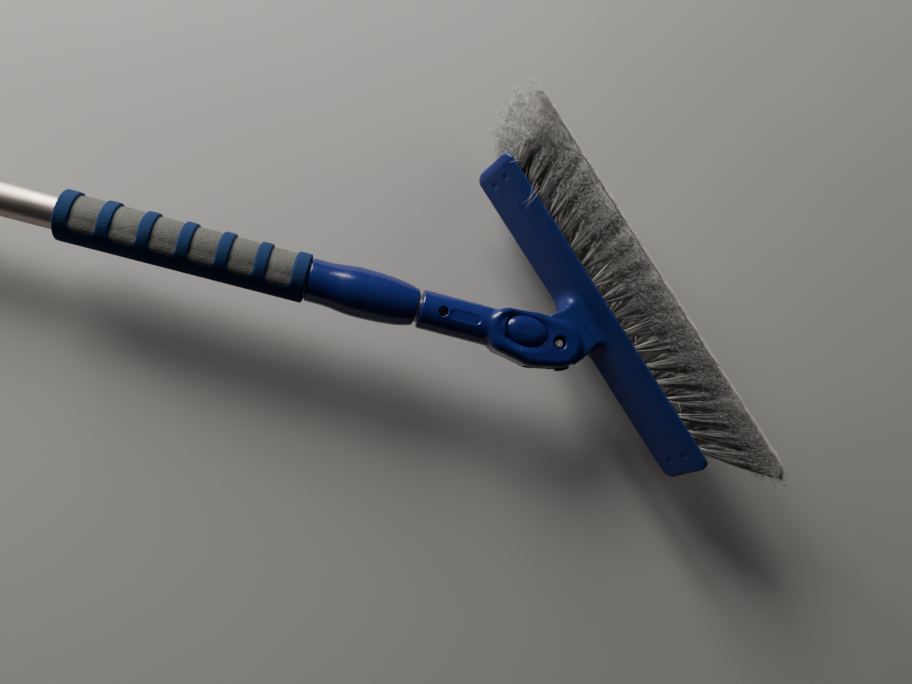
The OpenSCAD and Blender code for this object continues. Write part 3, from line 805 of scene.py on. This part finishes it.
def block_field(x, y, z):
    """Block, arm and tongue in one, with the tongue's notches, the bush's bore and the tuft holes cut"""
    draft = 0.7 * np.clip((z + BLOCK_T) / BLOCK_T, 0, 1)
    plan = slab(x, y, BLOCK_HALF, CORNER) + draft
    band = ramp(x, -10, 2) * (1 - ramp(x, 4.2, 5.4)) * (1 - ramp(np.abs(y), 112, 123))
    crown = 0.5 * (x / BLOCK_HALF[0]) ** 2 + 0.09 * np.maximum(x - 12, 0)
    crown = crown + 1.6 * ramp(y, 146, 154) - 0.4 * band
    edge = 1.4 + 1.6 * ramp(-x, -14, 0)
    block = rounded(plan, np.maximum(z + crown, -BLOCK_T - z), edge)
    undercut = UNDERCUT[0] * (x - UNDERCUT_AT[0]) + UNDERCUT[1] * (z - UNDERCUT_AT[1])
    block = rounded(block, undercut, 0.9)
    for side in (-1, 1):
        dimple = np.hypot(np.abs(x) - DIMPLE_X, y - side * (BLOCK_HALF[1] - DIMPLE_IN))
        block = cut_away(block, np.hypot(dimple, z - DIMPLE_Z) - DIMPLE_R, 1.2)
    u, h = on_arm(x, z)
    flange = np.maximum(limb(u, y, (0, 0, TONGUE_R), (10, 0, TONGUE_R)), u - TONGUE_R + 3)
    flange = rounded(flange, np.maximum(h - TONGUE_HALF, FLANGE_LOW - h), 0.8)
    hub = np.maximum(limb(u, y, (0, 0, HUB_R), (14, 0, HUB_R)), u - TONGUE_R + 3)
    hub = rounded(hub, np.maximum(h - FLANGE_LOW - 1, -TONGUE_HALF - h), 0.8)
    arm = rounded(polygon(u, h, ARM_CORE) - ARM_EDGE, np.abs(y) - TONGUE_R + 0.6, 3.6)
    tongue = joined(np.minimum(flange, hub), arm, 1.5)
    for step in range(5):
        angle = math.radians(90 + 45 * step)
        notch_u = (TONGUE_R + NOTCH_OUT) * math.cos(angle)
        notch_y = (TONGUE_R + NOTCH_OUT) * math.sin(angle)
        notch = np.hypot(u - notch_u, y - notch_y) - NOTCH_R
        tongue = cut_away(tongue, np.maximum(notch, FLANGE_LOW - h), 0.4)
    shape = joined(block, tongue, 13)
    shape = np.maximum(shape, BUSH_BORE - np.hypot(u, y))
    row = ROW_GAP * np.clip(np.round(x / ROW_GAP), -2, 1)
    number = np.clip(np.round(y / TUFT_GAP + 0.5), 1 - TUFTS / 2, TUFTS / 2)
    along = y - TUFT_GAP * (number - 0.5)
    hole = np.hypot(x - row, along) - HOLE_R
    shape = np.maximum(shape, -np.maximum(hole, z + BLOCK_T - HOLE_DEPTH))
    dx, dz = x - OUTER_ROOT[0], z - OUTER_ROOT[1]
    flared = np.hypot(dx * OUTER_WAY[1] + dz * OUTER_WAY[0], along) - HOLE_R
    return np.maximum(shape, -np.maximum(flared, OUTER_WAY[1] * dz - OUTER_WAY[0] * dx - 5))


points, faces = field_mesh(block_field, (-29, -157, -13.5), (26, 157, 61), (0.6, 1.1, 0.6))
new_piece("brush_block_moulding", points, faces, BLOCK, "head", ["brush_block"], BLUE_BLOCK)


# ---------------------------------------------------------------- bristles

ROWS = 5
TIP_DEPTH = -BLOCK_T - 51.0
# The tips' edge across the block: the rim, its hairs painted pale as a painted highlight for the backlit
# tips, and the mat behind it that is trimmed a little sooner
RIM_X = 42.3
MAT_X = RIM_X - 0.5
# About how far the last tuft of a row is from the block's middle
ROW_HALF = 138.5
# Where a row's tips are across the block: the outer row's, and each step between the inner rows
OUTER_TIP_X, INNER_TIP_X = 36.5, 18.2
# Half sizes of a tuft across and along the block, at its tips and at its roots
TIP_RING, OUTER_RING, INNER_RING = (5.5, 12.5), (2.2, 2.8), (1.9, 2.0)
# Strands of a tuft, fibres of a strand, clumps of split ends and hairs of a clump
OUTER_TUFT, INNER_TUFT = (26, 6, 1250, 4), (14, 5, 220, 4)
# The upper end is frayed: not at all at the first place along the block, fully at the second
FRAYED = (126, 166)
# Radius at each station of a hair
FIBRE_R, STRAY_R = (0.13, 0.13, 0.12, 0.11, 0.10, 0), (0.1, 0.1, 0.09, 0)
HAIR_R, RIM_HAIR_R = (0.11, 0), (0.2, 0)
RIM_HAIRS = 1400
# No bristle goes lower than this at rest, in metres above the ground
LOWEST = 0.0004
# How far along the block each row's tips reach, at its lower and at its upper end
REACH = ((-158, 140), (-166, 184), (-173, 194), (-186, 194), (-203, 185))
# Lean of the outer row's roots, in degrees along the block, at these places along it
LEAN_AT = (-138, -100, -60, -23, 10, 30, 60, 100, 138)
LEAN_DEG = (-59, -48, -38, -28, -12, 2, 20, 34, 44)
# Loose fibres that lie over the block's face, by piece of the outer row
STRAYS = {
    1: [((24, -30, -10), (26.5, -34, -2), (25, -40, 1), (19, -47, 1.5)),
        ((24, -95, -11), (27, -99, -4), (26, -104, 0), (24, -110, 1))],
    2: [((24, 118, -8), (25, 114, 1), (14, 108, 3.5), (2, 104, 3)),
        ((24, 116, -9), (25.5, 113, 1), (15, 111, 2.5), (5, 112, 1.5)),
        ((24, 121, -8), (25, 117, 1.2), (17, 110, 3), (8, 102, 1.5)),
        ((24, 113, -9), (25, 110, 1), (17, 108, 2), (10, 109, 1.2)),
        ((24, 140, -9), (25.5, 142, 0.5), (21, 144, 2), (16, 144, 1))],
}


def prisms(paths, radii, shades):
    """Three-sided closed prisms along paths (fibres, stations, 3), each ending in a point.
    Returns points, faces and the shade of every point."""
    count, stations, _ = paths.shape
    along = unit(paths[:, -1] - paths[:, 0])
    helper = np.where(np.abs(along[:, :1]) < 0.8, [[1.0, 0, 0]], [[0, 1.0, 0]])
    one = unit(np.cross(along, helper))
    two = np.cross(along, one)
    rings = []
    for corner in range(3):
        angle = 2 * math.pi * corner / 3
        offset = math.cos(angle) * one + math.sin(angle) * two
        rings.append(paths[:, :-1] + offset[:, None, :] * radii[None, :-1, None])
    body = np.stack(rings, 2).reshape(count, -1, 3)
    points = np.concatenate([body, paths[:, -1:]], 1)
    shade = np.concatenate([np.repeat(shades[:, :-1], 3, 1), shades[:, -1:]], 1)
    tip = 3 * (stations - 1)
    faces = [(2, 1, 0)]
    for i in range(stations - 2):
        for j in range(3):
            k = (j + 1) % 3
            a, b = 3 * i, 3 * i + 3
            faces += [(a + j, a + k, b + k), (a + j, b + k, b + j)]
    faces += [(tip - 3 + j, tip - 3 + (j + 1) % 3, tip) for j in range(3)]
    all_faces = np.array(faces)[None] + (tip + 1) * np.arange(count)[:, None, None]
    return points.reshape(-1, 3), all_faces.reshape(-1, 3), shade.ravel()


def unit(vectors):
    """Vectors at length 1"""
    return vectors / np.linalg.norm(vectors, axis=-1, keepdims=True)


def curve_point(ends, t):
    """Point at t of the quadratic curves from ends[0] past ends[1] to ends[2]"""
    t = np.asarray(t)[..., None]
    return (1 - t) ** 2 * ends[0] + 2 * t * (1 - t) * ends[1] + t ** 2 * ends[2]


def tuft_curves(rng, side, place, strands, fibres):
    """Start, middle and end points of the fibres of a tuft: strands of fibres that lie together,
    spread round a hollow cone. The first column of fan tells which side of it they are on."""
    outer = side == (ROWS - 1) / 2
    count = strands * fibres
    share = lambda values: np.repeat(values, fibres)
    angle = share(rng.uniform(0, 2 * math.pi, strands)) + rng.normal(0, 0.07, count)
    spread = share(1 - 0.3 * rng.uniform(0, 1, strands) ** 2) + rng.normal(0, 0.04, count)
    fan = np.stack([spread * np.cos(angle), spread * np.sin(angle)], 1)
    v = place * TUFT_GAP
    far = v / ROW_HALF
    if outer:
        root_x = OUTER_ROOT[0] + fan[:, 0] * OUTER_RING[0] * OUTER_WAY[1]
        root_z = OUTER_ROOT[1] + fan[:, 0] * OUTER_RING[0] * OUTER_WAY[0]
    else:
        root_x = side * ROW_GAP + fan[:, 0] * INNER_RING[0]
        root_z = np.full(count, -BLOCK_T)
    root_y = v + fan[:, 1] * (OUTER_RING if outer else INNER_RING)[1]
    root = np.stack([root_x, root_y, root_z], 1)
    low, high = REACH[int(side + (ROWS - 1) / 2)]
    tip_x = OUTER_TIP_X + 1.5 * far if outer else side * INNER_TIP_X
    tips = np.stack([
        tip_x + fan[:, 0] * TIP_RING[0] + share(rng.normal(0, 0.8, strands)) + rng.normal(0, 0.3, count),
        (low + high) / 2 + ((high - low) / 2 - 10) * far + fan[:, 1] * TIP_RING[1]
        + share(rng.normal(0, 2.5, strands)) + rng.normal(0, 0.5, count),
        TIP_DEPTH + rng.normal(0, 0.5, count),
    ], 1)
    lean = math.radians(float(np.interp(v, LEAN_AT, LEAN_DEG))) if outer else math.atan(0.3 * far)
    heading = np.stack([
        (0.62 if outer else 0.22 * side) + fan[:, 0] * 0.30,
        math.tan(lean) + fan[:, 1] * 0.34,
        np.full(count, -1.0),
    ], 1)
    middle = root + unit(heading) * share(rng.uniform(19, 27, strands))[:, None]
    return fan, (root, middle, tips)


def trimmed(points, edge):
    """Points kept inside the brush as it was cut: a flat tip face and a straight outer edge"""
    over = np.maximum(TIP_DEPTH + 0.9 - points[..., 2], 0)
    points[..., 2] += 0.9 * over
    points[..., 0] -= 0.85 * np.maximum(points[..., 0] - edge, 0)
    return points


def split_ends(rng, side, far, fan, curves, clumps, size):
    """Paths and shades of the short hairs where a tuft's fibres are split: clumps whose hairs
    meet in a pale tip and stand out of the tuft, each hair starting dark as painted shade deep in the mat,
    and longer loose ones at the upper end, painted paler as painted light on the frayed fluff"""
    outer = side == (ROWS - 1) / 2
    clean = 0.34 + 0.22 * float(ramp(-far, -0.3, 0.9)) if outer else 0.3
    weight = np.clip(fan[:, 0] + 0.9, 0.1, None) if outer else np.ones(len(fan))
    owner = rng.choice(len(fan), clumps, p=weight / weight.sum())
    t = clean + (0.99 - clean) * rng.uniform(0, 1, clumps) ** 0.8 + rng.normal(0, 0.03, clumps)
    t = np.clip(t, 0.25, 0.99)
    own = [ends[owner] for ends in curves]
    centre = curve_point(own, t)
    ahead = unit(curve_point(own, t + 0.02) - centre)
    centre[:, 1] += rng.normal(0, 4.4, clumps) * ramp(t, clean, clean + 0.25)
    frayed = ramp(centre[:, 1], *FRAYED) if side > -2 else np.zeros(clumps)
    length = rng.uniform(1.6, 3.2, clumps) * (1 + 1.4 * frayed)
    outward = np.array([1.0 if outer else 0.3 * side, 0.0, 0.0]) * (1 - 0.7 * frayed[:, None])
    heading = unit(0.75 * ahead + outward + rng.normal(0, 0.40, (clumps, 3)))
    tip = centre + heading * length[:, None]
    share = lambda values: np.repeat(values, size, axis=0)
    total = clumps * size
    loose = rng.normal(0, 1, (total, 3)) * share(frayed)[:, None]
    start = share(centre) + rng.normal(0, 0.5, (total, 3)) + 1.7 * loose
    stray = rng.normal(0, 1.1, (total, 3)) * share(frayed)[:, None]
    ends = share(tip) + rng.normal(0, 0.2, (total, 3)) + 2.3 * loose + stray
    tone = rng.uniform(0.28, 0.76, clumps) + 0.08 * ramp(np.abs(centre[:, 1] + 30), 0, 120)
    # Painted light: the frayed upper end is painted paler, as if lit from above; the lower end is paler too
    tone += 0.2 * frayed + 0.25 * ramp(-centre[:, 1], 150, 185)
    # Inner rows are painted darker: painted shade under the outer row
    tone = share(tone - (0 if outer else 0.08)) + rng.normal(0, 0.05, total)
    # Each hair starts dark, painted shade deep in the mat; at the frayed end its start is painted paler,
    # painted light on the loose fluff
    shades = np.stack([0.14 + 0.55 * share(frayed), np.clip(tone, 0.05, 0.97)], 1)
    return trimmed(np.stack([start, ends], 1), MAT_X), shades


def rim_hairs(rng, far, count):
    """Paths and shades of the ends along the outer edge of the tip face, painted pale: a painted highlight
    for the backlit glow of the rim
    """
    low, high = REACH[-1]
    y = (low + high) / 2 + (high - low) / 2 * far * 0.95 + rng.uniform(-13, 13, count)
    y = np.clip(y, low - rng.uniform(0, 3, count), high + rng.uniform(0, 3, count))
    wave = 0.25 * np.sin(y / 5.1) + 0.2 * np.sin(y / 2.9 + 1)
    rounded_end = 0.03 * np.maximum(np.abs(y + 8) - 182, 0) ** 2
    x = RIM_X + 0.3 + wave + rng.uniform(-1.3, 1.0, count) - rounded_end
    back = rng.uniform(1.2, 3.2, count)
    tip = np.stack([x, y, TIP_DEPTH + rng.normal(0, 0.25, count)], 1)
    start = tip + np.stack([-0.3 * back, rng.normal(0, 0.8, count), 0.9 * back], 1)
    # Near-white shades all along: painted light standing in for the backlit rim
    shades = np.stack([rng.uniform(0.88, 1.0, count), rng.uniform(0.95, 1.0, count)], 1)
    return np.stack([start, tip], 1), shades


def row_meshes(row, tufts, part):
    """Points, faces and shades of a part of a row: fibres, split ends, rim hairs and strays"""
    rng = np.random.default_rng(SEED + 100 * row + part)
    side = row - (ROWS - 1) / 2
    outer = row == ROWS - 1
    strands, fibres, clumps, size = OUTER_TUFT if outer else INNER_TUFT
    parts = []
    for tuft in tufts:
        place = tuft - (TUFTS - 1) / 2
        far = place * TUFT_GAP / ROW_HALF
        fan, curves = tuft_curves(rng, side, place, strands, fibres)
        t = np.array([0, 0.18, 0.38, 0.6, 0.8, 1.0])
        paths = np.stack([curve_point(curves, np.full(len(fan), value)) for value in t], 1)
        paths[:, 2:] += rng.normal(0, 0.22, (len(fan), 4, 3)) * np.linspace(0.5, 1.6, 4)[None, :, None]
        # Each strand gets its own tone, with painted light and shade on top: inner rows painted darker for
        # the shade under the outer row, strands at a tuft's ends along the block painted lighter for light on
        # its edges, and every fibre painted darker partway down for the shade inside the mat
        tone = np.repeat(rng.uniform(0.15, 0.75, strands), fibres) - (0 if outer else 0.08)
        tone = np.clip(tone + 0.25 * np.abs(fan[:, 1]) ** 3, 0.05, 0.9)
        shades = tone[:, None] * np.array([1.0, 1.0, 0.95, 0.85, 0.8, 1.0])
        parts.append(prisms(trimmed(paths, MAT_X), np.array(FIBRE_R), shades))
        # More clumps at the upper end, where the brush is frayed
        more = (1.9 if far > 0.95 else 1) if outer else (7 if far > 0.75 else 1)
        hairs, shades = split_ends(rng, side, far, fan, curves, int(clumps * more), size)
        parts.append(prisms(hairs, np.array(HAIR_R), shades))
        if outer:
            hairs, shades = rim_hairs(rng, far, RIM_HAIRS)
            parts.append(prisms(hairs, np.array(RIM_HAIR_R), shades))
    if outer and part in STRAYS:
        strays = np.array(STRAYS[part], float)
        parts.append(prisms(strays, np.array(STRAY_R), np.full(strays.shape[:2], 0.9)))
    points, faces, shades = [], [], []
    base = 0
    for p, f, shade in parts:
        points.append(p)
        faces.append(f + base)
        shades.append(shade)
        base += len(p)
    return np.concatenate(points), np.concatenate(faces), np.concatenate(shades)


def bristle_piece(name, node, points, faces, shades):
    """A bristle mesh from points in mm in the block frame, kept above the ground"""
    world = points * MM @ np.array(BLOCK.to_3x3()).T + np.array(BLOCK.translation)
    world[:, 2] = np.maximum(world[:, 2], LOWEST)
    mesh = bpy.data.meshes.new(name)
    mesh.vertices.add(len(world))
    mesh.vertices.foreach_set("co", world.astype(np.float32).ravel())
    mesh.loops.add(3 * len(faces))
    mesh.loops.foreach_set("vertex_index", faces.astype(np.int32).ravel())
    mesh.polygons.add(len(faces))
    mesh.polygons.foreach_set("loop_start", np.arange(0, 3 * len(faces), 3, dtype=np.int32))
    mesh.update(calc_edges=True)
    shade = mesh.attributes.new("shade", "FLOAT", "POINT")
    shade.data.foreach_set("value", shades.astype(np.float32))
    mesh.shade_smooth()
    mesh.materials.append(FIBRE)
    piece = bpy.data.objects.new(name, mesh)
    bpy.context.scene.collection.objects.link(piece)
    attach(piece, "head")
    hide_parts(node)


for row in range(ROWS):
    outer = row == ROWS - 1
    pieces = 3 if outer else 1
    for part in range(pieces):
        tufts = range(part * TUFTS // pieces, (part + 1) * TUFTS // pieces)
        mesh_data = row_meshes(row, tufts, part)
        bristle_piece(f"bristle_tufts_{row + 1}_{part + 1}", f"bristle_row_{row + 1}", *mesh_data)
